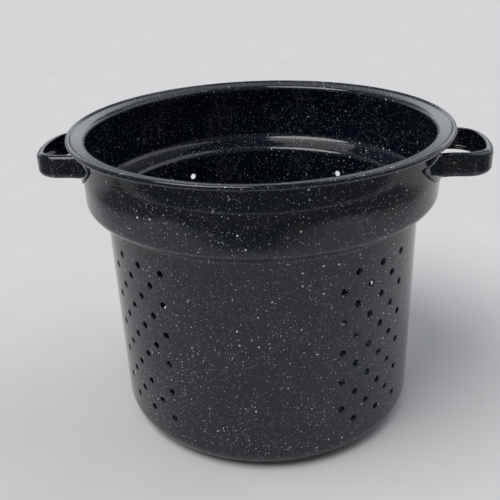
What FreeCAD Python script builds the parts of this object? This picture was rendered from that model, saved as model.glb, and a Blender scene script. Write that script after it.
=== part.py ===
import FreeCAD, Part
import math
import os

import Sketcher
from FreeCAD import Placement, Rotation, Vector

# A perforated straining basket of enamelled sheet steel that hangs inside a stock pot.
# Frame: +Z up, origin at the centre of the flat base, handles on the X axis, millimetres.

DIMENSIONS = {
    # the drawn sheet, with its enamel on both sides
    "sheet": 1.0,
    "rim_radius": 135.0,
    "rim_height": 219.0,
    "bead_tube": 1.8,
    "flange_slope": 9.0,
    "neck_radius": 122.0,
    "neck_round": 2.5,
    # the collar that stands in the mouth of the pot
    "collar_radius": 126.6,
    "collar_bulge_height": 196.0,
    "collar_round": 50.0,
    "shoulder_round": 7.6,
    "shoulder_slope": 31.5,
    "shoulder_root_height": 162.6,
    "root_round": 4.0,
    # the perforated lower wall and the base
    "wall_top_radius": 113.2,
    "wall_foot_radius": 112.1,
    "foot_round": 14.6,
    # drain holes in four panels midway between the handles
    "hole_radius": 2.35,
    "panel_direction": 45.0,
    "column_pitch": 5.5,
    "top_row_height": 145.6,
    "row_pitch": 11.48,
    # drain holes in rings on the base
    "ring_pitch": 21.0,
    # strap handles
    "strap_sheet": 1.4,
    "strap_bottom_height": 187.5,
    "strap_top_height": 204.0,
    "strap_depth": 5.2,
    "strap_round": 3.8,
    "arm_half_width": 34.5,
    "loop_reach": 161.6,
    "loop_front_radius": 75.0,
    "loop_corner_radius": 19.0,
    "arm_start": 112.0,
    "foot_middle_direction": 66.5,
    "foot_sweep": 19.0,
    "foot_lower_end": 122.0,
    "foot_upper_end": 105.0,
}

PANEL_COUNT = 4
COLUMNS_PER_PANEL = 6
ROWS = 11
RING_COUNT = 4
HOLES_IN_FIRST_RING = 6
# one place of the front left panel is unpunched: its column and its row
BLANK_COLUMN = 4
BLANK_ROW = 7
OVERRUN = 2.0


class Size:
    """A number kept together with the sheet expression that it comes from."""

    def __init__(self, value, text=None):
        self.value = float(value)
        self.text = text or repr(self.value)

    def joined(self, other, sign, value):
        return Size(value, "(%s %s %s)" % (self.text, sign, other.text))

    def __add__(self, other):
        other = as_size(other)
        return self.joined(other, "+", self.value + other.value)

    def __sub__(self, other):
        other = as_size(other)
        return self.joined(other, "-", self.value - other.value)

    def __mul__(self, other):
        other = as_size(other)
        return self.joined(other, "*", self.value * other.value)

    def __neg__(self):
        return self * -1.0


def as_size(number):
    return number if isinstance(number, Size) else Size(number)


def tangent(angle):
    return Size(math.tan(math.radians(angle.value)), "tan(%s * 1 deg)" % angle.text)


def secant(angle):
    return Size(1.0 / math.cos(math.radians(angle.value)), "(1 / cos(%s * 1 deg))" % angle.text)


def square_root(number):
    return Size(math.sqrt(number.value), "sqrt(%s)" % number.text)


class Dims:
    """The driving dimensions, each read from its cell of the spreadsheet."""

    def __init__(self, doc):
        self.sheet_object = doc.addObject("Spreadsheet::Sheet", "dims")
        for row, (alias, number) in enumerate(DIMENSIONS.items(), start=1):
            self.sheet_object.set("A%d" % row, alias)
            self.sheet_object.set("B%d" % row, str(number))
            self.sheet_object.setAlias("B%d" % row, alias)
        doc.recompute()

    def __getattr__(self, alias):
        return Size(getattr(self.sheet_object, alias), "dims." + alias)


# ---------------------------------------------------------------- sketch helpers

def origin_plane(body, role):
    return next(plane for plane in body.Origin.OriginFeatures if plane.Role == role)


def new_sketch(body, name, role, turn=None, lift=None):
    """A sketch on an origin plane, turned about its own upright axis or lifted off the plane."""
    sketch = body.newObject("Sketcher::SketchObject", name)
    sketch.AttachmentSupport = [(origin_plane(body, role), "")]
    sketch.MapMode = "FlatFace"
    if turn is not None:
        sketch.AttachmentOffset = Placement(Vector(), Rotation(Vector(0, 1, 0), turn.value))
        sketch.setExpression("AttachmentOffset.Rotation.Angle", turn.text)
    if lift is not None:
        sketch.AttachmentOffset = Placement(Vector(0, 0, lift.value), Rotation())
        sketch.setExpression("AttachmentOffset.Base.z", lift.text)
    return sketch


def bind(sketch, constraint, size):
    index = sketch.addConstraint(constraint)
    sketch.setExpression("Constraints[%d]" % index, size.text)


def pin(sketch, geometry, point, across, up):
    """Fix one point of a piece of geometry at (across, up) from the sketch's origin."""
    bind(sketch, Sketcher.Constraint("DistanceX", -1, 1, geometry, point, across.value), across)
    bind(sketch, Sketcher.Constraint("DistanceY", -1, 1, geometry, point, up.value), up)


def corner_arc(before, corner, after, radius):
    """The arc that rounds a corner, drawn anticlockwise, and whether it starts on the first line."""
    back = (before - corner).normalize()
    ahead = (after - corner).normalize()
    half = back.getAngle(ahead) / 2.0
    start = corner + back * (radius / math.tan(half))
    end = corner + ahead * (radius / math.tan(half))
    centre = corner + (back + ahead).normalize() * (radius / math.sin(half))
    turns_left = back.cross(ahead).z < 0
    first, last = (start, end) if turns_left else (end, start)
    angles = [math.atan2(point.y - centre.y, point.x - centre.x) for point in (first, last)]
    circle = Part.Circle(centre, Vector(0, 0, 1), radius)
    return start, end, Part.ArcOfCircle(circle, angles[0], angles[1]), turns_left


def outline(sketch, corners):
    """Draw a closed outline from (across, up, round) corners; round is None at a sharp one."""
    corners = [(as_size(across), as_size(up), radius) for across, up, radius in corners]
    points = [Vector(across.value, up.value, 0) for across, up, radius in corners]
    count = len(points)
    arrivals = list(points)
    departures = list(points)
    arcs = [None] * count
    for index, (across, up, radius) in enumerate(corners):
        if radius is not None:
            before, after = points[index - 1], points[(index + 1) % count]
            arrivals[index], departures[index], arc, turns_left = corner_arc(
                before, points[index], after, radius.value)
            arcs[index] = (arc, turns_left)
    lines = []
    for index in range(count):
        segment = Part.LineSegment(departures[index], arrivals[(index + 1) % count])
        lines.append(sketch.addGeometry(segment, False))
    for index, (across, up, radius) in enumerate(corners):
        line_in, line_out = lines[index - 1], lines[index]
        if radius is None:
            sketch.addConstraint(Sketcher.Constraint("Coincident", line_in, 2, line_out, 1))
            pin(sketch, line_out, 1, across, up)
            continue
        curve, turns_left = arcs[index]
        arc = sketch.addGeometry(curve, False)
        first, last = (1, 2) if turns_left else (2, 1)
        sketch.addConstraint(Sketcher.Constraint("Tangent", line_in, 2, arc, first))
        sketch.addConstraint(Sketcher.Constraint("Tangent", line_out, 1, arc, last))
        bind(sketch, Sketcher.Constraint("Radius", arc, radius.value), radius)
        corner = sketch.addGeometry(Part.Point(points[index]), True)
        sketch.addConstraint(Sketcher.Constraint("PointOnObject", corner, 1, line_in))
        sketch.addConstraint(Sketcher.Constraint("PointOnObject", corner, 1, line_out))
        pin(sketch, corner, 1, across, up)


def circles(sketch, centres, radius):
    for across, up in centres:
        centre = Vector(as_size(across).value, as_size(up).value, 0)
        circle = sketch.addGeometry(Part.Circle(centre, Vector(0, 0, 1), radius.value), False)
        pin(sketch, circle, 3, as_size(across), as_size(up))
        bind(sketch, Sketcher.Constraint("Radius", circle, radius.value), radius)


# --------------------------------------------------------------- feature helpers

def revolve(body, name, sketch, degrees=None):
    feature = body.newObject("PartDesign::Revolution", name)
    feature.Profile = sketch
    feature.ReferenceAxis = (sketch, ["V_Axis"])
    if degrees is None:
        feature.Angle = 360.0
    else:
        feature.Midplane = True
        feature.setExpression("Angle", degrees.text)
    return feature


def pocket(body, name, sketch, depth, reverse=False, both_ways=False):
    feature = body.newObject("PartDesign::Pocket", name)
    feature.Profile = sketch
    feature.Type = "Length"
    feature.Refine = False
    feature.Reversed = reverse
    feature.Midplane = both_ways
    feature.setExpression("Length", depth.text)
    return feature


def repeat_round(body, name, feature, count, degrees=360.0):
    """Repeat a feature about the upright axis."""
    pattern = body.newObject("PartDesign::PolarPattern", name)
    pattern.Originals = [feature]
    axis = next(line for line in body.Origin.OriginFeatures if line.Role == "Z_Axis")
    pattern.Axis = (axis, [""])
    pattern.Angle = degrees
    pattern.Occurrences = count
    pattern.Refine = False
    body.Tip = pattern
    return pattern


def new_body(doc, label):
    body = doc.addObject("PartDesign::Body", label)
    body.Label = label
    return body


# ------------------------------------------------------------------------- shell

def bead_centre(d):
    return d.rim_radius - d.bead_tube, d.rim_height - d.bead_tube


def flange_root_height(d):
    """Where the flange's underside would meet the neck."""
    bead_radius, bead_height = bead_centre(d)
    return bead_height - (bead_radius - d.neck_radius) * tangent(d.flange_slope)


def shoulder_corner_height(d):
    """Where the sloping shoulder would meet the upright side of the collar."""
    rise = (d.collar_radius - d.wall_top_radius) * tangent(d.shoulder_slope)
    return d.shoulder_root_height + rise


def sheet_section(d):
    """The section of the drawn sheet: up the outside, then down the inside."""
    bead_radius, bead_height = bead_centre(d)
    slope = tangent(d.flange_slope)
    inner_lift = d.sheet * secant(d.shoulder_slope) - d.sheet * tangent(d.shoulder_slope)
    outside = [
        (0, 0, None),
        (d.wall_foot_radius, 0, d.foot_round),
        (d.wall_top_radius, d.shoulder_root_height, d.root_round),
        (d.collar_radius, shoulder_corner_height(d), d.shoulder_round),
        (d.collar_radius, d.collar_bulge_height, d.collar_round),
        (d.neck_radius, flange_root_height(d), d.neck_round),
        (bead_radius, bead_height, None),
    ]
    inside = [
        (bead_radius, bead_height + d.sheet, None),
        (d.neck_radius - d.sheet, flange_root_height(d) + d.sheet - d.sheet * slope,
         d.neck_round + d.sheet),
        (d.collar_radius - d.sheet, d.collar_bulge_height, d.collar_round - d.sheet),
        (d.collar_radius - d.sheet, shoulder_corner_height(d) + inner_lift,
         d.shoulder_round - d.sheet),
        (d.wall_top_radius - d.sheet, d.shoulder_root_height + inner_lift,
         d.root_round + d.sheet),
        (d.wall_foot_radius - d.sheet, d.sheet, d.foot_round - d.sheet),
        (0, d.sheet, None),
    ]
    return outside + inside


def row_height(d, row):
    return d.top_row_height - d.row_pitch * row


def column_rows(column):
    """Columns of five and of six holes alternate, so the holes are staggered."""
    first = 1 if column % 2 == 0 else 0
    return list(range(first, ROWS, 2))


def punch_wall(body, d):
    for column in range(COLUMNS_PER_PANEL):
        rows = column_rows(column)
        offset = column - (COLUMNS_PER_PANEL - 1) / 2.0
        turn = d.panel_direction + d.column_pitch * offset
        whole_rows = [row for row in rows if (column, row) != (BLANK_COLUMN, BLANK_ROW)]
        name = "WallColumn%d" % (column + 1)
        punch_column(body, d, name, turn, whole_rows, PANEL_COUNT, 360.0)
        if len(whole_rows) < len(rows):
            # three panels have this hole: front right, back right and back left
            punch_column(body, d, name + "Extra", turn, [BLANK_ROW], PANEL_COUNT - 1, 180.0)


def punch_column(body, d, name, turn, rows, panels, degrees):
    sketch = new_sketch(body, name + "Sketch", "XZ_Plane", turn=turn)
    circles(sketch, [(0, row_height(d, row)) for row in rows], d.hole_radius)
    column = pocket(body, name, sketch, d.rim_radius, reverse=True)
    repeat_round(body, name + "Panels", column, panels, degrees)


def punch_base(body, d):
    sketch = new_sketch(body, "BaseCentreSketch", "XY_Plane")
    circles(sketch, [(0, 0)], d.hole_radius)
    pocket(body, "BaseCentre", sketch, d.foot_round, both_ways=True)
    for ring in range(1, RING_COUNT + 1):
        name = "BaseRing%d" % ring
        sketch = new_sketch(body, name + "Sketch", "XY_Plane")
        circles(sketch, [(d.ring_pitch * ring, 0)], d.hole_radius)
        hole = pocket(body, name, sketch, d.foot_round, both_ways=True)
        repeat_round(body, name + "Holes", hole, HOLES_IN_FIRST_RING * ring)


def make_shell(doc, d):
    body = new_body(doc, "basket_shell")
    section = new_sketch(body, "SheetSection", "XZ_Plane")
    outline(section, sheet_section(d))
    revolve(body, "DrawnSheet", section)
    bead = new_sketch(body, "BeadSection", "XZ_Plane")
    circles(bead, [bead_centre(d)], d.bead_tube)
    revolve(body, "RimBead", bead)
    punch_wall(body, d)
    punch_base(body, d)
    return body


# ----------------------------------------------------------------------- handles

def neck_line_radius(d, height):
    """Outer radius of the collar's upper cone, above its bulge, at a height."""
    lean = d.collar_radius.value - d.neck_radius.value
    rise = flange_root_height(d).value - d.collar_bulge_height.value
    drop = height - d.collar_bulge_height
    text = "((%s - %s) / (%s - %s))" % (d.collar_radius.text, d.neck_radius.text,
                                        flange_root_height(d).text, d.collar_bulge_height.text)
    return d.collar_radius - drop * Size(lean / rise, text)


def collar_band(d, low, high, inner, thickness):
    """A band that follows the collar's outside from low to high, bulge and all."""
    return [
        (inner, low, None),
        (d.collar_radius + thickness, low, None),
        (d.collar_radius + thickness, d.collar_bulge_height, d.collar_round + thickness),
        (neck_line_radius(d, high) + thickness, high, None),
        (inner, high, None),
    ]


def clear_collar(body, d, name):
    """Cut a handle back to the collar's outside."""
    room = new_sketch(body, name + "Section", "XZ_Plane")
    outline(room, collar_band(d, d.strap_bottom_height - OVERRUN,
                              d.strap_top_height + OVERRUN, Size(0), Size(0)))
    groove = body.newObject("PartDesign::Groove", name)
    groove.Profile = room
    groove.ReferenceAxis = (room, ["V_Axis"])
    groove.Angle = 360.0


def loop_corner(d):
    """Centre of the rounded corner of the loop on its +Y side."""
    across = d.arm_half_width - d.loop_corner_radius
    reach = d.loop_front_radius - d.loop_corner_radius
    along = square_root(reach * reach - across * across)
    return d.loop_reach - d.loop_front_radius + along, across


def loop_path(sketch, d):
    """The outer face of the loop seen from above: arm, corner, bowed front, corner, arm."""
    front = Vector(d.loop_reach.value - d.loop_front_radius.value, 0, 0)
    along, across = loop_corner(d)
    up = Vector(0, 0, 1)
    lean = math.atan2(across.value, along.value - front.x)
    quarter = math.pi / 2.0
    near = Vector(along.value, -across.value, 0)
    far = Vector(along.value, across.value, 0)
    width = d.arm_half_width.value
    start = d.arm_start.value
    arm_in = sketch.addGeometry(
        Part.LineSegment(Vector(start, -width, 0), Vector(along.value, -width, 0)), False)
    corner_in = sketch.addGeometry(Part.ArcOfCircle(
        Part.Circle(near, up, d.loop_corner_radius.value), -quarter, -lean), False)
    bow = sketch.addGeometry(Part.ArcOfCircle(
        Part.Circle(front, up, d.loop_front_radius.value), -lean, lean), False)
    corner_out = sketch.addGeometry(Part.ArcOfCircle(
        Part.Circle(far, up, d.loop_corner_radius.value), lean, quarter), False)
    arm_out = sketch.addGeometry(
        Part.LineSegment(Vector(along.value, width, 0), Vector(start, width, 0)), False)
    for before, after in ((arm_in, corner_in), (corner_in, bow),
                          (bow, corner_out), (corner_out, arm_out)):
        sketch.addConstraint(Sketcher.Constraint("Tangent", before, 2, after, 1))
    pin(sketch, arm_in, 1, d.arm_start, -d.arm_half_width)
    pin(sketch, arm_out, 2, d.arm_start, d.arm_half_width)
    pin(sketch, bow, 3, d.loop_reach - d.loop_front_radius, Size(0))
    for arc, radius in ((corner_in, d.loop_corner_radius), (corner_out, d.loop_corner_radius),
                        (bow, d.loop_front_radius)):
        bind(sketch, Sketcher.Constraint("Radius", arc, radius.value), radius)


def strap_section(d):
    """The strap's section on its -Y arm: a shallow channel, its edges turned in."""
    outer = -d.arm_half_width
    lip = outer + d.strap_depth
    web = outer + d.strap_sheet
    low, high = d.strap_bottom_height, d.strap_top_height
    inner_round = d.strap_round - d.strap_sheet
    return [
        (lip, low, None),
        (lip, low + d.strap_sheet, None),
        (web, low + d.strap_sheet, inner_round),
        (web, high - d.strap_sheet, inner_round),
        (lip, high - d.strap_sheet, None),
        (lip, high, None),
        (outer, high, d.strap_round),
        (outer, low, d.strap_round),
    ]


def make_handle(doc, d, label, half_turn):
    body = new_body(doc, label)
    path = new_sketch(body, "LoopPath", "XY_Plane", lift=d.strap_bottom_height)
    loop_path(path, d)
    section = new_sketch(body, "StrapSection", "YZ_Plane", lift=d.arm_start)
    outline(section, strap_section(d))
    doc.recompute()
    loop = body.newObject("PartDesign::AdditivePipe", "Loop")
    loop.Profile = section
    loop.Spine = (path, ["Edge%d" % edge for edge in range(1, 6)])

    # the arms stop at the collar
    clear_collar(body, d, "ArmTrim")

    # a welded foot follows the collar beside each arm, its end cut on a slant
    foot = new_sketch(body, "FootSection", "XZ_Plane", turn=d.foot_middle_direction - 90.0)
    outline(foot, collar_band(d, d.strap_bottom_height, d.strap_top_height,
                              d.collar_radius - OVERRUN, d.strap_sheet))
    near_foot = revolve(body, "NearFoot", foot, d.foot_sweep)
    both_feet = body.newObject("PartDesign::Mirrored", "BothFeet")
    both_feet.Originals = [near_foot]
    both_feet.MirrorPlane = (origin_plane(body, "XZ_Plane"), [""])
    body.Tip = both_feet
    clear_collar(body, d, "FootTrim")
    slant = new_sketch(body, "FootEnds", "XZ_Plane")
    outline(slant, [(0, d.strap_bottom_height - OVERRUN, None),
                    (d.foot_lower_end, d.strap_bottom_height - OVERRUN, None),
                    (d.foot_upper_end, d.strap_top_height + OVERRUN, None),
                    (0, d.strap_top_height + OVERRUN, None)])
    pocket(body, "FootEndCut", slant, d.rim_radius + d.rim_radius, both_ways=True)
    body.Placement = Placement(Vector(), Rotation(Vector(0, 0, 1), half_turn))
    return body


# ------------------------------------------------------------------------- build

def check(doc, nodes):
    doc.recompute()
    for item in doc.Objects:
        bad = [state for state in item.State if state in ("Invalid", "Error")]
        if bad:
            raise RuntimeError("%s is %s" % (item.Label, bad))
    for node in nodes:
        if node.Shape.isNull() or not node.Shape.isValid():
            raise RuntimeError("%s has no valid shape" % node.Label)
        if len(node.Shape.Solids) != 1:
            raise RuntimeError("%s has %d solids" % (node.Label, len(node.Shape.Solids)))


def main():
    doc = FreeCAD.newDocument("straining_basket")
    d = Dims(doc)
    nodes = [
        make_shell(doc, d),
        make_handle(doc, d, "handle_right", 0.0),
        make_handle(doc, d, "handle_left", 180.0),
    ]
    check(doc, nodes)
    os.makedirs("parts", exist_ok=True)
    for node in nodes:
        node.Shape.exportStep(os.path.join("parts", node.Label + ".step"))
        print("%s: %.0f cubic millimetres" % (node.Label, node.Shape.Volume))


main()
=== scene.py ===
import math

import bpy
from mathutils import Matrix, Vector
from mathutils.geometry import delaunay_2d_cdt


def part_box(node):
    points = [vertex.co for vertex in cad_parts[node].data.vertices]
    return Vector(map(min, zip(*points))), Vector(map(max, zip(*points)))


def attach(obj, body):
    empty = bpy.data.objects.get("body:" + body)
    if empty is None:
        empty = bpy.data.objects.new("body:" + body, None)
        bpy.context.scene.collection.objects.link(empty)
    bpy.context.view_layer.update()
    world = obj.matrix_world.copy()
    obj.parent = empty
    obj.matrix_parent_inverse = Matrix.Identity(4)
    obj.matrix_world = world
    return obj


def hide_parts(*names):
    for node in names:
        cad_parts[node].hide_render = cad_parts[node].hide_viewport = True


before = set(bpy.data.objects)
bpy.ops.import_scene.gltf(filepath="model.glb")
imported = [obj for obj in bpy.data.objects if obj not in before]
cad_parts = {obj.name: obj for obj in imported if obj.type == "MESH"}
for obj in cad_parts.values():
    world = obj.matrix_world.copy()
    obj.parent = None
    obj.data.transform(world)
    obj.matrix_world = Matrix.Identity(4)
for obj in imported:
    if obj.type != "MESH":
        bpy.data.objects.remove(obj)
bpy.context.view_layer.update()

# ------------------------------------------------------------------ dimensions
# Metres. The overall sizes come from the frame; the rest repeats the CAD design.

MM = 0.001
SHELL_LOW, SHELL_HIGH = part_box("basket_shell")
HANDLE_LOW, HANDLE_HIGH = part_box("handle_right")

RIM_RADIUS = SHELL_HIGH.x
RIM_HEIGHT = SHELL_HIGH.z
SHEET = 1.0 * MM
BEAD_TUBE = 1.8 * MM
BEAD_TURN = math.radians(326.0)  # how far round the bead the sheet's line goes
FLANGE_SLOPE = math.radians(9.0)
NECK_RADIUS = 122.0 * MM
NECK_ROUND = 2.5 * MM
COLLAR_RADIUS = 126.6 * MM
COLLAR_BULGE_HEIGHT = 196.0 * MM
COLLAR_ROUND = 50.0 * MM
SHOULDER_ROUND = 7.6 * MM
SHOULDER_SLOPE = math.radians(31.5)
SHOULDER_ROOT_HEIGHT = 162.6 * MM
ROOT_ROUND = 4.0 * MM
WALL_TOP_RADIUS = 113.2 * MM
WALL_FOOT_RADIUS = 112.1 * MM
FOOT_ROUND = 14.6 * MM

HOLE_RADIUS = 2.35 * MM
PANEL_COUNT = 4
PANEL_DIRECTION = math.radians(45.0)
COLUMN_PITCH = math.radians(5.5)
COLUMNS_PER_PANEL = 6
TOP_ROW_HEIGHT = 145.6 * MM
ROW_PITCH = 11.48 * MM
ROWS = 11
BLANK_PLACE = (3, 4, 7)          # panel, column and row of the one unpunched place
BASE_RING_PITCH = 21.0 * MM
BASE_RINGS = 4
HOLES_IN_FIRST_RING = 6

STRAP_SHEET = 1.4 * MM
STRAP_LOW = HANDLE_LOW.z
STRAP_HIGH = HANDLE_HIGH.z
STRAP_DEPTH = 5.2 * MM
STRAP_ROUND = 3.8 * MM
ARM_HALF_WIDTH = 34.5 * MM
LOOP_REACH = HANDLE_HIGH.x
LOOP_FRONT_RADIUS = 75.0 * MM
LOOP_CORNER_RADIUS = 19.0 * MM
FOOT_LOWER_END = 122.0 * MM
FOOT_UPPER_END = 105.0 * MM
FOOT_END_OVERRUN = 2.0 * MM

# mesh resolution
CELL_STEPS = 8                   # grid steps across one cell of the hole lattice
GAP_STEPS = 38                   # grid columns in the plain wall between two panels
RING_POINTS = 4 * CELL_STEPS
BEAD_STEPS = 28                  # steps round the rolled bead
CORNER_STEP = math.radians(7.0)  # longest step round a corner of the sheet's line
LONGEST_STEP = 5.0 * MM          # and along its straight stretches
BEAD_GROOVE = (2.2, 2.9, 3.8)    # millimetres from the bead's centre, over the flange
HOLE_GUARD = 0.5 * MM            # width of the even ring of faces round a hole
CELL_BLENDS = (0.4, 0.75)        # rings between a cell's border and that even ring
BASE_RING_POINTS = 24            # points round a hole of the base
BASE_SPACING = 4.4 * MM          # distance between the points that fill the base
BASE_BORDER_GAP = 2.2 * MM       # they keep this far from the base's border
BASE_HOLE_GAP = 1.6 * MM         # and this far from its holes
FACE_STEPS = 12                  # steps across the strap's face
ROUND_STEPS = 6                  # steps round each of its roundings
LIP_STEPS = 3                    # steps along its turned-in lip


# --------------------------------------------------------------- mesh helpers

class MeshParts:
    """Vertices and faces that are gathered piece by piece and then made into one object."""

    def __init__(self):
        self.points = []
        self.faces = []

    def add(self, point):
        self.points.append(tuple(point))
        return len(self.points) - 1

    def add_ring(self, points):
        return [self.add(point) for point in points]

    def bridge(self, ring, other):
        """Quads between two closed rings of the same length."""
        count = len(ring)
        for index in range(count):
            after = (index + 1) % count
            self.faces.append((ring[index], ring[after], other[after], other[index]))

    def build(self, name, material):
        used = sorted({index for face in self.faces for index in face})
        place = {old: new for new, old in enumerate(used)}
        mesh = bpy.data.meshes.new(name)
        mesh.from_pydata([self.points[index] for index in used], [],
                         [[place[index] for index in face] for face in self.faces])
        mesh.validate()
        mesh.shade_smooth()
        piece = bpy.data.objects.new(name, mesh)
        bpy.context.scene.collection.objects.link(piece)
        mesh.materials.append(material)
        return piece


def polar(radius, direction, height):
    """A point at a direction measured from -Y towards +X."""
    return (radius * math.sin(direction), -radius * math.cos(direction), height)


def on_circle(centre, radius, direction):
    return centre + radius * Vector((math.cos(direction), math.sin(direction)))


def smoothstep(x):
    x = min(max(x, 0.0), 1.0)
    return x * x * (3.0 - 2.0 * x)


def rounded_corner(before, corner, after, radius):
    """Points along the arc that rounds a corner between two straight lines."""
    back = (before - corner).normalized()
    ahead = (after - corner).normalized()
    half = back.angle(ahead) / 2.0
    start = corner + back * (radius / math.tan(half))
    end = corner + ahead * (radius / math.tan(half))
    centre = corner + (back + ahead).normalized() * (radius / math.sin(half))
    first = start - centre
    turn = first.angle_signed(end - centre)
    count = max(4, math.ceil(abs(turn) / CORNER_STEP))
    points = []
    for index in range(count + 1):
        angle = -turn * index / count
        points.append(centre + Matrix.Rotation(angle, 2) @ first)
    return points


# ------------------------------------------------------------ the sheet's line

def wall_radius(height):
    """Outer radius of the perforated wall."""
    share = height / SHOULDER_ROOT_HEIGHT
    return WALL_FOOT_RADIUS + (WALL_TOP_RADIUS - WALL_FOOT_RADIUS) * share


def bead_centre():
    return Vector((RIM_RADIUS - BEAD_TUBE, RIM_HEIGHT - BEAD_TUBE))


def flange_root():
    centre = bead_centre()
    drop = (centre.x - NECK_RADIUS) * math.tan(FLANGE_SLOPE)
    return Vector((NECK_RADIUS, centre.y - drop))


def shoulder_corner_height():
    return SHOULDER_ROOT_HEIGHT + (COLLAR_RADIUS - WALL_TOP_RADIUS) * math.tan(SHOULDER_SLOPE)


def outer_corners():
    """Corners of the outside of the sheet above the wall, with their roundings."""
    return [
        (Vector((WALL_TOP_RADIUS, SHOULDER_ROOT_HEIGHT)), ROOT_ROUND),
        (Vector((COLLAR_RADIUS, shoulder_corner_height())), SHOULDER_ROUND),
        (Vector((COLLAR_RADIUS, COLLAR_BULGE_HEIGHT)), COLLAR_ROUND),
        (flange_root(), NECK_ROUND),
    ]


def inner_corners():
    """The same corners on the inside, from the flange down."""
    lift = SHEET / math.cos(SHOULDER_SLOPE) - SHEET * math.tan(SHOULDER_SLOPE)
    root = flange_root()
    flange_top = root.y + SHEET - SHEET * math.tan(FLANGE_SLOPE)
    return [
        (Vector((NECK_RADIUS - SHEET, flange_top)), NECK_ROUND + SHEET),
        (Vector((COLLAR_RADIUS - SHEET, COLLAR_BULGE_HEIGHT)), COLLAR_ROUND - SHEET),
        (
            Vector((COLLAR_RADIUS - SHEET, shoulder_corner_height() + lift)),
            SHOULDER_ROUND - SHEET,
        ),
        (Vector((WALL_TOP_RADIUS - SHEET, SHOULDER_ROOT_HEIGHT + lift)), ROOT_ROUND + SHEET),
    ]


def sample_line(points):
    """Split the long straight stretches of a line of points."""
    result = [points[0]]
    for start, end in zip(points, points[1:]):
        parts = max(1, math.ceil((end - start).length / LONGEST_STEP))
        result += [start.lerp(end, part / parts) for part in range(1, parts + 1)]
    return result


def bead_arc():
    """Round the rolled bead, from the flange's underside over the outside to its top."""
    begin = math.radians(180.0) + FLANGE_SLOPE
    return [on_circle(bead_centre(), BEAD_TUBE, begin + BEAD_TURN * index / BEAD_STEPS)
            for index in range(BEAD_STEPS + 1)]


def soften(points, places):
    """Ease a line near the given places, as enamel pools in a narrow groove."""
    for _ in range(3):
        eased = list(points)
        for index in places:
            eased[index] = (points[index - 1] + points[index] * 2.0 + points[index + 1]) / 4.0
        points = eased
    return points


def upper_line():
    """The sheet's line from the top of the punched wall, over the rim and back down inside."""
    band_top = TOP_ROW_HEIGHT + ROW_PITCH / 2.0
    start = Vector((wall_radius(band_top), band_top))
    corners = outer_corners()
    centre = bead_centre()
    inside = inner_corners()
    end = Vector((wall_radius(band_top) - SHEET, band_top))
    line = [start]
    places = [start] + [corner for corner, _ in corners] + [centre]
    for index, (corner, radius) in enumerate(corners):
        line += rounded_corner(places[index], corner, places[index + 2], radius)
    bead_first = len(line)
    line += bead_arc()
    bead_last = len(line) - 1
    flange_end = centre + Vector((0.0, SHEET))
    places = [flange_end] + [corner for corner, _ in inside] + [end]
    # these points let the groove beside the bead ease out over the flange
    root = inside[0][0]
    along = (root - flange_end).normalized()
    line += [flange_end + along * distance * MM for distance in BEAD_GROOVE]
    for index, (corner, radius) in enumerate(inside):
        line += rounded_corner(places[index], corner, places[index + 2], radius)
    line.append(end)
    groove = [bead_last - 1, bead_last, bead_last + 1, bead_last + 2]
    line = soften(line, [bead_first, bead_first + 1] + groove)
    return sample_line(line)


def foot_line(inside):
    """The sheet's line from the flat base, round the foot and up to the punched wall."""
    shift = SHEET if inside else 0.0
    band_low = TOP_ROW_HEIGHT - ROW_PITCH * (ROWS - 0.5)
    flat = Vector((0.0, shift))
    corner = Vector((WALL_FOOT_RADIUS - shift, shift))
    above = Vector((wall_radius(band_low) - shift, band_low))
    return sample_line(rounded_corner(flat, corner, above, FOOT_ROUND - shift) + [above])


# ------------------------------------------------------------------- the shell

def grid_directions():
    """Directions of the grid's columns, fine across each panel of holes."""
    directions = []
    half_panel = COLUMN_PITCH * COLUMNS_PER_PANEL / 2.0
    quarter = 2.0 * math.pi / PANEL_COUNT
    for panel in range(PANEL_COUNT):
        centre = PANEL_DIRECTION + quarter * panel
        steps = COLUMNS_PER_PANEL * CELL_STEPS
        directions += [centre - half_panel + COLUMN_PITCH * step / CELL_STEPS
                       for step in range(steps)]
        gap = quarter - 2.0 * half_panel
        directions += [centre + half_panel + gap * step / GAP_STEPS for step in range(GAP_STEPS)]
    return directions


def hole_places():
    """(panel, column, row) of every punched hole of the wall."""
    places = []
    for panel in range(PANEL_COUNT):
        for column in range(COLUMNS_PER_PANEL):
            first = 1 if column % 2 == 0 else 0
            for row in range(first, ROWS, 2):
                if (panel, column, row) != BLANK_PLACE:
                    places.append((panel, column, row))
    return places


def lip_profile(steps=8):
    """(radius, depth) over the rounded edge of a hole, from the outside to the inside."""
    half = SHEET / 2.0
    profile = []
    for step in range(steps + 1):
        angle = math.pi * step / steps
        outward, down = half * (1.0 - math.sin(angle)), half * (1.0 - math.cos(angle))
        profile.append((HOLE_RADIUS + outward, down))
    return profile


def wall_point(place, across, up, depth):
    """A point of the wall beside a hole, given by its distances from the hole's centre."""
    panel, column, row = place
    height = TOP_ROW_HEIGHT - ROW_PITCH * row
    direction = (PANEL_DIRECTION + 2.0 * math.pi / PANEL_COUNT * panel
                 + COLUMN_PITCH * (column - (COLUMNS_PER_PANEL - 1) / 2.0))
    direction += across / wall_radius(height)
    return polar(wall_radius(height + up) - depth, direction, height + up)


def cell_border(first_row, first_column, columns):
    """Grid indices round one cell, anticlockwise from its lower left corner."""
    border = []
    for step in range(CELL_STEPS):
        border.append((first_row + CELL_STEPS, first_column + step))
    for step in range(CELL_STEPS):
        border.append((first_row + CELL_STEPS - step, first_column + CELL_STEPS))
    for step in range(CELL_STEPS):
        border.append((first_row, first_column + CELL_STEPS - step))
    for step in range(CELL_STEPS):
        border.append((first_row + step, first_column))
    return [(row, column % columns) for row, column in border]


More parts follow.
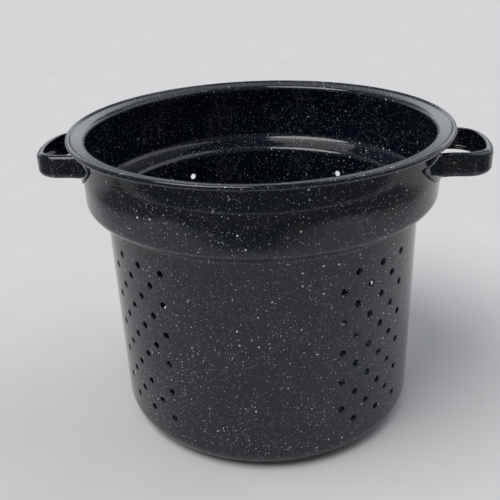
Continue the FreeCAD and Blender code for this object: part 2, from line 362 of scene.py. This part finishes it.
def square_ring(half_across, half_up):
    """Where the border of a cell lies about its centre, in the order of cell_border."""
    ring = []
    for side in range(4):
        for step in range(CELL_STEPS):
            slide = -1.0 + 2.0 * step / CELL_STEPS
            across, up = [(slide, -1.0), (1.0, slide), (-slide, 1.0), (-1.0, -slide)][side]
            ring.append((across * half_across, up * half_up))
    return ring


def circle_ring(radius, count=RING_POINTS, start=math.radians(225.0)):
    angles = [start + 2.0 * math.pi * index / count for index in range(count)]
    return [(radius * math.cos(angle), radius * math.sin(angle)) for angle in angles]


def blend_rings(outer, inner, share):
    return [(a[0] + (b[0] - a[0]) * share, a[1] + (b[1] - a[1]) * share)
            for a, b in zip(outer, inner)]


def punch_hole(parts, place, outer_border, inner_border):
    """Join the outside and the inside of the sheet through one rounded hole."""
    height = TOP_ROW_HEIGHT - ROW_PITCH * place[2]
    square = square_ring(COLUMN_PITCH / 2.0 * wall_radius(height), ROW_PITCH / 2.0)
    profile = lip_profile()
    guard = circle_ring(profile[0][0] + HOLE_GUARD)
    rings = [outer_border]
    for share in CELL_BLENDS:
        flat = blend_rings(square, guard, share)
        rings.append(parts.add_ring(wall_point(place, a, b, 0.0) for a, b in flat))
    rings.append(parts.add_ring(wall_point(place, a, b, 0.0) for a, b in guard))
    for radius, depth in profile:
        ring = circle_ring(radius)
        rings.append(parts.add_ring(wall_point(place, a, b, depth) for a, b in ring))
    rings.append(parts.add_ring(wall_point(place, a, b, SHEET) for a, b in guard))
    for share in reversed(CELL_BLENDS):
        flat = blend_rings(square, guard, share)
        rings.append(parts.add_ring(wall_point(place, a, b, SHEET) for a, b in flat))
    rings.append(inner_border)
    for ring, other in zip(rings, rings[1:]):
        parts.bridge(ring, other)


def base_hole_centres():
    centres = [(0.0, 0.0)]
    for ring in range(1, BASE_RINGS + 1):
        count = HOLES_IN_FIRST_RING * ring
        for index in range(count):
            angle = 2.0 * math.pi * index / count
            radius = BASE_RING_PITCH * ring
            centres.append((radius * math.cos(angle), radius * math.sin(angle)))
    return centres


def base_disc(parts, border, height, hole_rings):
    """Fill the flat base between its border and the edges of its holes."""
    centres = base_hole_centres()
    edge = HOLE_RADIUS + SHEET / 2.0
    rim = (Vector(parts.points[border[0]]).xy).length
    indices = list(border)
    for ring in hole_rings:
        indices += ring
    flat = [Vector(parts.points[index][:2]) for index in indices]
    edges = []
    start = 0
    for loop in [border] + hole_rings:
        count = len(loop)
        edges += [(start + step, start + (step + 1) % count) for step in range(count)]
        start += count
    row_spacing = BASE_SPACING * 0.866
    rows = int(rim / row_spacing) + 1
    for row in range(-rows, rows + 1):
        shift = 0.5 if row % 2 else 0.0
        for column in range(-rows, rows + 1):
            point = Vector(((column + shift) * BASE_SPACING, row * row_spacing))
            if point.length > rim - BASE_BORDER_GAP:
                continue
            if min((point - Vector(centre)).length for centre in centres) < edge + BASE_HOLE_GAP:
                continue
            flat.append(point)
            indices.append(parts.add((point.x, point.y, height)))
    corners, _, triangles, origins, _, _ = delaunay_2d_cdt(flat, edges, [], 0, 1e-7)
    for triangle in triangles:
        middle = sum((corners[index] for index in triangle), Vector((0.0, 0.0))) / 3.0
        if min((middle - Vector(centre)).length for centre in centres) < edge * 0.97:
            continue
        if middle.length > rim:
            continue
        parts.faces.append(tuple(indices[origins[index][0]] for index in triangle))


def make_base(parts, outer_border, inner_border):
    profile = lip_profile()
    outside, inside = [], []
    for across, along in base_hole_centres():
        rings = []
        for radius, depth in profile:
            circle = circle_ring(radius, BASE_RING_POINTS, 0.0)
            rings.append(parts.add_ring((across + a, along + b, depth) for a, b in circle))
        for ring, other in zip(rings, rings[1:]):
            parts.bridge(ring, other)
        outside.append(rings[0])
        inside.append(rings[-1])
    base_disc(parts, outer_border, 0.0, outside)
    base_disc(parts, inner_border, SHEET, inside)


def make_shell(material):
    parts = MeshParts()
    directions = grid_directions()
    columns = len(directions)
    band = ROWS * CELL_STEPS
    low, high = foot_line(False), upper_line()
    rise = ROW_PITCH / CELL_STEPS
    band_low = low[-1].y
    band_heights = [band_low + rise * step for step in range(1, band)]
    outer_band = [Vector((wall_radius(height), height)) for height in band_heights]
    inner_band = [Vector((point.x - SHEET, point.y)) for point in reversed(outer_band)]
    inner_foot = list(reversed(foot_line(True)))
    line = low + outer_band + high + inner_band + inner_foot
    outer_first = len(low) - 1
    inner_first = len(low) + len(outer_band) + len(high) - 1

    grid = [parts.add_ring(polar(point.x, direction, point.y) for direction in directions)
            for point in line]
    in_hole = set()
    for place in hole_places():
        panel, column, row = place
        first_column = panel * (COLUMNS_PER_PANEL * CELL_STEPS + GAP_STEPS) + column * CELL_STEPS
        outer_row = outer_first + (ROWS - 1 - row) * CELL_STEPS
        inner_row = inner_first + row * CELL_STEPS
        # the outside runs upwards and the inside downwards, so its border is read the other way
        outer_border = [grid[2 * outer_row + CELL_STEPS - r][c]
                        for r, c in cell_border(outer_row, first_column, columns)]
        inner_border = [grid[r][c] for r, c in cell_border(inner_row, first_column, columns)]
        punch_hole(parts, place, outer_border, inner_border)
        for step in range(CELL_STEPS):
            for slide in range(CELL_STEPS):
                in_hole.add((outer_row + step, first_column + slide))
                in_hole.add((inner_row + step, first_column + slide))
    for row in range(len(line) - 1):
        for column in range(columns):
            if (row, column) in in_hole:
                continue
            after = (column + 1) % columns
            parts.faces.append((grid[row][column], grid[row][after],
                                grid[row + 1][after], grid[row + 1][column]))
    make_base(parts, grid[0], grid[-1])
    return parts.build("enamelled_shell", material)


# ----------------------------------------------------------------- the handles

def collar_radius(height):
    """Outer radius of the collar at a height, its bulge rounded as the sheet's line is."""
    top = flange_root()
    lean = math.atan2(COLLAR_RADIUS - top.x, top.y - COLLAR_BULGE_HEIGHT)
    reach = COLLAR_ROUND * math.tan(lean / 2.0)
    low = COLLAR_BULGE_HEIGHT - reach
    if height <= low:
        return COLLAR_RADIUS
    if height >= COLLAR_BULGE_HEIGHT + reach * math.cos(lean):
        return COLLAR_RADIUS - (height - COLLAR_BULGE_HEIGHT) * math.tan(lean)
    return COLLAR_RADIUS - COLLAR_ROUND + math.sqrt(COLLAR_ROUND ** 2 - (height - low) ** 2)


def edge_sections():
    """One edge of the strap as pairs of (inset, height) points: as a flat strip and as a channel.

    It goes round the outer corner, along the turned-in lip, over its end and back inside.
    """
    half = STRAP_SHEET / 2.0
    inner_round = STRAP_ROUND - STRAP_SHEET
    lip = STRAP_DEPTH - half - STRAP_ROUND
    edge = []
    for step in range(ROUND_STEPS + 1):
        angle = math.pi / 2.0 * step / ROUND_STEPS
        sweep, rise = 1.0 - math.cos(angle), 1.0 - math.sin(angle)
        edge.append(((half * sweep, half * rise), (STRAP_ROUND * sweep, STRAP_ROUND * rise)))
    for step in range(1, LIP_STEPS + 1):
        edge.append(((half, 0.0), (STRAP_ROUND + lip * step / LIP_STEPS, 0.0)))
    for step in range(1, ROUND_STEPS + 1):
        angle = math.pi * step / ROUND_STEPS
        flat = (half + half * math.sin(angle / 2.0), half * (1.0 - math.cos(angle / 2.0)))
        cap = (STRAP_DEPTH - half + half * math.sin(angle), half * (1.0 - math.cos(angle)))
        edge.append((flat, cap))
    ease = (STRAP_ROUND - half) / (LIP_STEPS + ROUND_STEPS)
    for step in range(1, LIP_STEPS + 1):
        flat = (STRAP_SHEET, half + ease * step)
        edge.append((flat, (STRAP_DEPTH - half - lip * step / LIP_STEPS, STRAP_SHEET)))
    for step in range(1, ROUND_STEPS + 1):
        angle = math.pi / 2.0 * step / ROUND_STEPS
        flat = (STRAP_SHEET, half + ease * (LIP_STEPS + step))
        channel = (STRAP_SHEET + inner_round * (1.0 - math.sin(angle)),
                   STRAP_SHEET + inner_round * (1.0 - math.cos(angle)))
        edge.append((flat, channel))
    return edge


def strap_sections():
    """The strap's whole section: its upper edge, inner web, lower edge and outer face."""
    half = STRAP_SHEET / 2.0
    tall = STRAP_HIGH - STRAP_LOW
    lower = edge_sections()
    upper = [((flat[0], tall - flat[1]), (channel[0], tall - channel[1]))
             for flat, channel in lower]
    face, web = [], []
    for step in range(1, FACE_STEPS):
        share = 0.5 - 0.5 * math.cos(math.pi * step / FACE_STEPS)
        flat_height = half + (tall - 2.0 * half) * share
        height = STRAP_ROUND + (tall - 2.0 * STRAP_ROUND) * share
        face.append(((0.0, flat_height), (0.0, height)))
        web.append(((STRAP_SHEET, height), (STRAP_SHEET, height)))
    return upper + web[::-1] + lower[::-1] + face


class StrapCourse:
    """Where the strap runs in plan: a foot on the collar, a bend, an arm and half of the loop."""

    BEND = 3.0 * MM                  # radius of the bend's outer face
    EMBED = 0.15 * MM                # how far the foot reaches into the collar's coat
    END_CORNER = 2.0 * MM            # rounding of the foot's end
    END_ANGLE = math.radians(86.0)   # how far the foot's end is rounded over its thickness
    SHORTEST_FOOT = 0.5 * MM
    BENT_SHARE = 0.6                 # how far the strip is a channel at the end of the bend
    STEPS = {"end": 4, "foot": 14, "bend": 10, "arm": 9, "corner": 12, "bow": 10}

    def __init__(self):
        self.front = Vector((LOOP_REACH - LOOP_FRONT_RADIUS, 0.0))
        reach = LOOP_FRONT_RADIUS - LOOP_CORNER_RADIUS
        across = ARM_HALF_WIDTH - LOOP_CORNER_RADIUS
        self.corner = self.front + Vector((math.sqrt(reach ** 2 - across ** 2), -across))
        self.lean = math.asin(across / reach)

    def stations(self):
        """(stretch, share) for each section from the foot's end to the middle of the bow."""
        return [(stretch, (step + 1) / count)
                for stretch, count in self.STEPS.items() for step in range(count)]

    def channel_share(self, stretch, share):
        """How far the flat foot has become a channel."""
        if stretch in ("end", "foot"):
            return 0.0
        if stretch == "bend":
            return self.BENT_SHARE * smoothstep(share)
        if stretch == "arm":
            return self.BENT_SHARE + (1.0 - self.BENT_SHARE) * smoothstep(share * 2.5)
        return 1.0

    def bend_centre(self, outer):
        across = ARM_HALF_WIDTH + self.BEND
        return Vector((math.sqrt((outer + self.BEND) ** 2 - across ** 2), -across))

    def end_direction(self, height, outer, bend_direction):
        """Direction of the foot's slanted end at a height, its corners rounded."""
        low = STRAP_LOW - FOOT_END_OVERRUN
        share = (height - low) / (STRAP_HIGH + FOOT_END_OVERRUN - low)
        along = FOOT_LOWER_END + (FOOT_UPPER_END - FOOT_LOWER_END) * share
        edge = min(height - STRAP_LOW, STRAP_HIGH - height)
        short = max(self.END_CORNER - edge, 0.0)
        pull = self.END_CORNER - math.sqrt(max(self.END_CORNER ** 2 - short ** 2, 0.0))
        furthest = outer * math.cos(bend_direction) - self.SHORTEST_FOOT
        return -math.acos(min(along + pull, furthest) / outer)

    def foot_point(self, stretch, share, inset, height, outer, bend_direction):
        start = self.end_direction(height, outer, bend_direction)
        if stretch == "foot":
            direction = start + (bend_direction - start) * share
        else:
            angle = self.END_ANGLE * (1.0 - share)
            half = STRAP_SHEET / 2.0
            inset = half + (inset - half) * math.cos(angle)
            direction = start - half * math.sin(angle) / outer
        radius = outer - inset * (1.0 + self.EMBED / STRAP_SHEET)
        return on_circle(Vector((0.0, 0.0)), radius, direction)

    def point(self, stretch, share, inset, height):
        """A point of the strap in plan, inset from its outer face, a share along a stretch."""
        outer = collar_radius(height) + STRAP_SHEET
        centre = self.bend_centre(outer)
        bend_direction = math.atan2(centre.y, centre.x)
        if stretch in ("end", "foot"):
            return self.foot_point(stretch, share, inset, height, outer, bend_direction)
        if stretch == "bend":
            start, end = math.pi + bend_direction, math.pi / 2.0
            sunk = self.EMBED * min(inset / STRAP_SHEET, 1.0) * (1.0 - share)
            return on_circle(centre, self.BEND + inset + sunk, start + (end - start) * share)
        if stretch == "arm":
            start = Vector((centre.x, inset - ARM_HALF_WIDTH))
            return start.lerp(Vector((self.corner.x, start.y)), share)
        if stretch == "corner":
            direction = -math.pi / 2.0 + (math.pi / 2.0 - self.lean) * share
            return on_circle(self.corner, LOOP_CORNER_RADIUS - inset, direction)
        return on_circle(self.front, LOOP_FRONT_RADIUS - inset, -self.lean * (1.0 - share))


def strap_ring(course, stretch, share):
    channel = course.channel_share(stretch, share)
    ring = []
    for flat, formed in strap_sections():
        inset = flat[0] + (formed[0] - flat[0]) * channel
        height = STRAP_LOW + flat[1] + (formed[1] - flat[1]) * channel
        plan = course.point(stretch, share, inset, height)
        ring.append(Vector((plan.x, plan.y, height)))
    return ring


def make_handle(name, side, material):
    """One handle; side is 1 for the right and -1 for the left."""
    parts = MeshParts()
    course = StrapCourse()
    half = [strap_ring(course, stretch, share) for stretch, share in course.stations()]
    other = [[Vector((p.x, -p.y, p.z)) for p in ring] for ring in half[-2::-1]]
    rings = [parts.add_ring((p.x * side, p.y * side, p.z) for p in ring) for ring in half + other]
    for ring, following in zip(rings, rings[1:]):
        parts.bridge(ring, following)
    parts.faces.append(tuple(rings[0][::-1]))
    parts.faces.append(tuple(rings[-1]))
    return parts.build(name, material)


# ------------------------------------------------------------------- materials

ENAMEL_BLACK = (0.0018, 0.0054, 0.0122, 1.0)
SPECK_WHITE = (0.80, 0.82, 0.84, 1.0)
ENAMEL_IOR = 1.52
GLOSS_ROUGHNESS = (0.05, 0.12)   # from the clearest to the haziest places
COAT_WAVE = 0.010 * MM           # height of one unit of the surface's unevenness
SWELL_HEIGHT = 12.0              # long waves of the coat, in those units
SPECK_HEIGHT = 0.35              # how far specks stand up, in those units
DIMMEST_SPECK = 0.2              # of the brightest one of its size
DIM_SPECK_SHARE = 1.6            # a higher power makes more specks dim

SPECKS = [
    # spacing, radius, softness, share kept, strength
    (0.80 * MM, 0.20 * MM, 0.5, 0.66, 0.50),
    (1.30 * MM, 0.29 * MM, 0.4, 0.40, 0.95),
    (2.20 * MM, 0.42 * MM, 0.3, 0.32, 1.00),
    (4.50 * MM, 0.75 * MM, 0.3, 0.28, 1.00),
]


def shader_nodes(name):
    material = bpy.data.materials.new(name)
    material.use_nodes = True
    tree = material.node_tree
    return material, tree, tree.nodes["Principled BSDF"]


def add_node(tree, kind, **values):
    """A node with the given input sockets or properties set."""
    node = tree.nodes.new(kind)
    for key, value in values.items():
        if key in node.inputs:
            node.inputs[key].default_value = value
        else:
            setattr(node, key, value)
    return node


def object_coordinates(tree):
    return add_node(tree, "ShaderNodeTexCoord").outputs["Object"]


def math_node(tree, operation, *operands):
    """The result of an operation on sockets and plain numbers."""
    node = add_node(tree, "ShaderNodeMath", operation=operation)
    for socket, value in zip(node.inputs, operands):
        if isinstance(value, float):
            socket.default_value = value
        else:
            tree.links.new(value, socket)
    return node.outputs[0]


def vector_node(tree, operation, *operands):
    node = add_node(tree, "ShaderNodeVectorMath", operation=operation)
    for socket, value in zip(node.inputs, operands):
        if isinstance(value, tuple):
            socket.default_value = value
        else:
            tree.links.new(value, socket)
    return node


def ramp_between(tree, value, start, end):
    """0 before start and 1 past end, smooth between; start may be above end."""
    node = add_node(tree, "ShaderNodeMapRange", interpolation_type="SMOOTHSTEP")
    tree.links.new(value, node.inputs["Value"])
    node.inputs["From Min"].default_value = start
    node.inputs["From Max"].default_value = end
    return node.outputs["Result"]


def noise_node(tree, coordinates, size, detail):
    """Noise whose features are about the given size in metres."""
    noise = add_node(tree, "ShaderNodeTexNoise", Scale=1.0 / size, Detail=detail)
    tree.links.new(coordinates, noise.inputs["Vector"])
    return noise.outputs


def mix_colours(tree, factor, first, second):
    mix = add_node(tree, "ShaderNodeMix", data_type="RGBA")
    tree.links.new(factor, mix.inputs["Factor"])
    mix.inputs["A"].default_value = first
    mix.inputs["B"].default_value = second
    return mix.outputs["Result"]


def wavy_position(tree, coordinates, amount, size):
    """Coordinates pushed about by noise, so that specks aren't round."""
    noise = noise_node(tree, coordinates, size, 1.0)["Color"]
    centred = vector_node(tree, "SUBTRACT", noise, (0.5, 0.5, 0.5))
    scaled = vector_node(tree, "SCALE", centred.outputs[0])
    scaled.inputs["Scale"].default_value = amount
    return vector_node(tree, "ADD", coordinates, scaled.outputs[0]).outputs[0]


def speck_layer(tree, position, density, spacing, radius, soft, keep, strength):
    """Specks of one size: spheres round random points, cut by the surface.

    spacing and radius are metres; keep is the share of the points that show where the
    slow density noise is average; strength is how white the brightest of them are.
    """
    cells = add_node(tree, "ShaderNodeTexVoronoi", Scale=1.0 / spacing, Randomness=1.0)
    tree.links.new(position, cells.inputs["Vector"])
    reach = radius / spacing
    spot = ramp_between(tree, cells.outputs["Distance"], reach, reach * (1.0 - soft))
    split = add_node(tree, "ShaderNodeSeparateColor")
    tree.links.new(cells.outputs["Color"], split.inputs[0])
    threshold = math_node(tree, "MULTIPLY", density, keep)
    shown = math_node(tree, "LESS_THAN", split.outputs["Red"], threshold)
    level = math_node(tree, "POWER", split.outputs["Green"], DIM_SPECK_SHARE)
    level = math_node(tree, "MULTIPLY_ADD", level, 1.0 - DIMMEST_SPECK, DIMMEST_SPECK)
    spot = math_node(tree, "MULTIPLY", spot, shown)
    spot = math_node(tree, "MULTIPLY", spot, level)
    return math_node(tree, "MULTIPLY", spot, strength)


def all_specks(tree, coordinates, amount):
    """How white the surface is, from every layer, thicker in some places than in others."""
    position = wavy_position(tree, coordinates, 0.30 * MM, 0.8 * MM)
    slow = noise_node(tree, coordinates, 26.0 * MM, 2.0)["Fac"]
    density = math_node(tree, "MULTIPLY_ADD", slow, 2.4 * amount, -0.2 * amount)
    layers = [speck_layer(tree, position, density, *speck) for speck in SPECKS]
    total = layers[0]
    for layer in layers[1:]:
        total = math_node(tree, "MAXIMUM", total, layer)
    return total


def enamel(name, speck_amount):
    """Glossy dark enamel with white specks fused into it."""
    material, tree, shader = shader_nodes(name)
    coordinates = object_coordinates(tree)
    specks = all_specks(tree, coordinates, speck_amount)
    colour = mix_colours(tree, specks, ENAMEL_BLACK, SPECK_WHITE)
    tree.links.new(colour, shader.inputs["Base Color"])
    shader.inputs["IOR"].default_value = ENAMEL_IOR

    # the gloss is a little uneven
    haze = noise_node(tree, coordinates, 18.0 * MM, 3.0)["Fac"]
    rough = add_node(tree, "ShaderNodeMapRange")
    tree.links.new(haze, rough.inputs["Value"])
    rough.inputs["To Min"].default_value, rough.inputs["To Max"].default_value = GLOSS_ROUGHNESS
    tree.links.new(rough.outputs["Result"], shader.inputs["Roughness"])

    # a fired coat is never quite flat, and its specks stand up a little
    ripple = noise_node(tree, coordinates, 3.5 * MM, 2.0)["Fac"]
    swell = noise_node(tree, coordinates, 38.0 * MM, 1.0)["Fac"]
    height = math_node(tree, "MULTIPLY", swell, SWELL_HEIGHT)
    height = math_node(tree, "ADD", height, ripple)
    raised = math_node(tree, "MULTIPLY", specks, SPECK_HEIGHT)
    height = math_node(tree, "ADD", height, raised)
    bump = add_node(tree, "ShaderNodeBump", Strength=1.0, Distance=COAT_WAVE)
    tree.links.new(height, bump.inputs["Height"])
    tree.links.new(bump.outputs["Normal"], shader.inputs["Normal"])
    return material


def floor_material():
    material, tree, shader = shader_nodes("pale_floor")
    cloud = add_node(tree, "ShaderNodeTexNoise", Scale=14.0, Detail=6.0)
    tree.links.new(object_coordinates(tree), cloud.inputs["Vector"])
    colour = mix_colours(tree, cloud.outputs["Fac"],
                         (0.66, 0.66, 0.67, 1.0), (0.72, 0.72, 0.73, 1.0))
    tree.links.new(colour, shader.inputs["Base Color"])
    shader.inputs["Roughness"].default_value = 0.85
    shader.inputs["Specular IOR Level"].default_value = 0.2
    return material


def surround_material():
    """Dark cloth and wood patches, clear over the pale floor round the object."""
    material, tree, shader = shader_nodes("dark_surround")
    coordinates = object_coordinates(tree)
    split = add_node(tree, "ShaderNodeSeparateXYZ")
    tree.links.new(coordinates, split.inputs[0])
    across, along = split.outputs["X"], split.outputs["Y"]
    sideways = math_node(tree, "MULTIPLY", math_node(tree, "ABSOLUTE", across), 0.85)
    reach = math_node(tree, "MAXIMUM", sideways, math_node(tree, "MULTIPLY", along, -1.0))
    # it starts about half a metre out and leaves the far end pale
    cover = math_node(tree, "MULTIPLY", ramp_between(tree, reach, 0.40, 0.54),
                      ramp_between(tree, along, 0.40, 0.05))
    cover = math_node(tree, "MULTIPLY", cover, 0.85)
    tree.links.new(cover, shader.inputs["Alpha"])
    patches = add_node(tree, "ShaderNodeTexNoise", Scale=5.0, Detail=2.0)
    tree.links.new(coordinates, patches.inputs["Vector"])
    colour = mix_colours(tree, ramp_between(tree, patches.outputs["Fac"], 0.45, 0.60),
                         (0.012, 0.014, 0.020, 1.0), (0.200, 0.130, 0.090, 1.0))
    tree.links.new(colour, shader.inputs["Base Color"])
    shader.inputs["Roughness"].default_value = 0.9
    return material


# ---------------------------------------------------------------------- studio

FLOOR_HALF_SIZE = 12.0
FLOOR_DROP = 0.0002              # keeps the floor clear of the base
SURROUND_HALF_SIZE = 4.0
SURROUND_LIFT = 0.0005


def flat_card(name, half_size, height, material):
    """A square level card of the stage."""
    mesh = bpy.data.meshes.new(name)
    corners = [(-half_size, -half_size, height), (half_size, -half_size, height),
               (half_size, half_size, height), (-half_size, half_size, height)]
    mesh.from_pydata(corners, [], [(0, 1, 2, 3)])
    mesh.materials.append(material)
    card = bpy.data.objects.new(name, mesh)
    bpy.context.scene.collection.objects.link(card)
    return card


def make_world():
    """A dim room, paler at its far end, with one bright band low behind the object."""
    world = bpy.data.worlds.new("studio")
    bpy.context.scene.world = world
    world.use_nodes = True
    tree = world.node_tree
    direction = add_node(tree, "ShaderNodeTexCoord").outputs["Generated"]
    split = add_node(tree, "ShaderNodeSeparateXYZ")
    tree.links.new(direction, split.inputs[0])
    along, up = split.outputs["Y"], split.outputs["Z"]
    band = math_node(tree, "MULTIPLY", ramp_between(tree, up, 0.10, 0.32),
                     ramp_between(tree, up, 0.50, 0.36))
    window = math_node(tree, "MULTIPLY", band, ramp_between(tree, along, 0.15, 0.75))
    window = math_node(tree, "MULTIPLY", window, 1.15)
    far_end = math_node(tree, "MULTIPLY", ramp_between(tree, along, -0.3, 0.5), 0.20)
    total = math_node(tree, "ADD", window, far_end)
    total = math_node(tree, "ADD", total, 0.18)
    background = tree.nodes["Background"]
    background.inputs["Color"].default_value = (0.93, 0.96, 1.0, 1.0)
    tree.links.new(total, background.inputs["Strength"])


def sun_light(name, source, spread, strength, colour):
    """A distant soft light; source points towards it and spread is its angular width."""
    light = bpy.data.lights.new(name, "SUN")
    light.angle = math.radians(spread)
    light.energy = strength
    light.color = colour
    lamp = bpy.data.objects.new(name, light)
    lamp.rotation_euler = (-Vector(source)).to_track_quat("-Z", "Y").to_euler()
    bpy.context.scene.collection.objects.link(lamp)


def make_studio():
    floor = flat_card("floor", FLOOR_HALF_SIZE, 0.0, floor_material())
    floor.location.z = -FLOOR_DROP
    # only the object's gloss sees the dark surround
    surround = flat_card("dark_surround", SURROUND_HALF_SIZE, SURROUND_LIFT, surround_material())
    surround.visible_camera = False
    surround.visible_diffuse = False
    surround.visible_shadow = False
    make_world()
    bpy.context.scene.view_settings.view_transform = "Standard"
    sun_light("key", (-0.42, -0.32, 1.0), 40.0, 1.95, (1.0, 0.99, 0.97))
    sun_light("fill", (0.8, 0.25, 1.0), 50.0, 0.50, (0.93, 0.96, 1.0))


def make_camera():
    """Seen from a little to the right of the front and 25 degrees above."""
    focal_share = 1.4124             # focal length over the width of the picture
    pitch = math.radians(25.26)
    yaw = math.radians(-6.02)
    roll = math.radians(2.25)
    place = Vector((41.24, -489.71, 349.69)) * MM
    forward = Vector((math.sin(yaw) * math.cos(pitch), math.cos(yaw) * math.cos(pitch),
                      -math.sin(pitch)))
    level = Vector((math.cos(yaw), -math.sin(yaw), 0.0))
    down = forward.cross(level)
    right = level * math.cos(roll) + down * math.sin(roll)
    up = level * math.sin(roll) - down * math.cos(roll)
    data = bpy.data.cameras.new("camera")
    data.sensor_width = 36.0
    data.lens = focal_share * data.sensor_width
    data.clip_start = 0.01
    camera = bpy.data.objects.new("camera", data)
    turn = Matrix((right, up, -forward)).transposed()
    camera.matrix_world = Matrix.Translation(place) @ turn.to_4x4()
    bpy.context.scene.collection.objects.link(camera)
    bpy.context.scene.camera = camera


# ----------------------------------------------------------------------- build

make_camera()
make_studio()
shell_enamel = enamel("speckled_enamel", 1.0)
handle_enamel = enamel("handle_enamel", 0.6)

shell = make_shell(shell_enamel)
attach(shell, "root")
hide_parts("basket_shell")

for node, side in (("handle_right", 1.0), ("handle_left", -1.0)):
    handle = make_handle(node + "_strap", side, handle_enamel)
    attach(handle, "root")
    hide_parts(node)
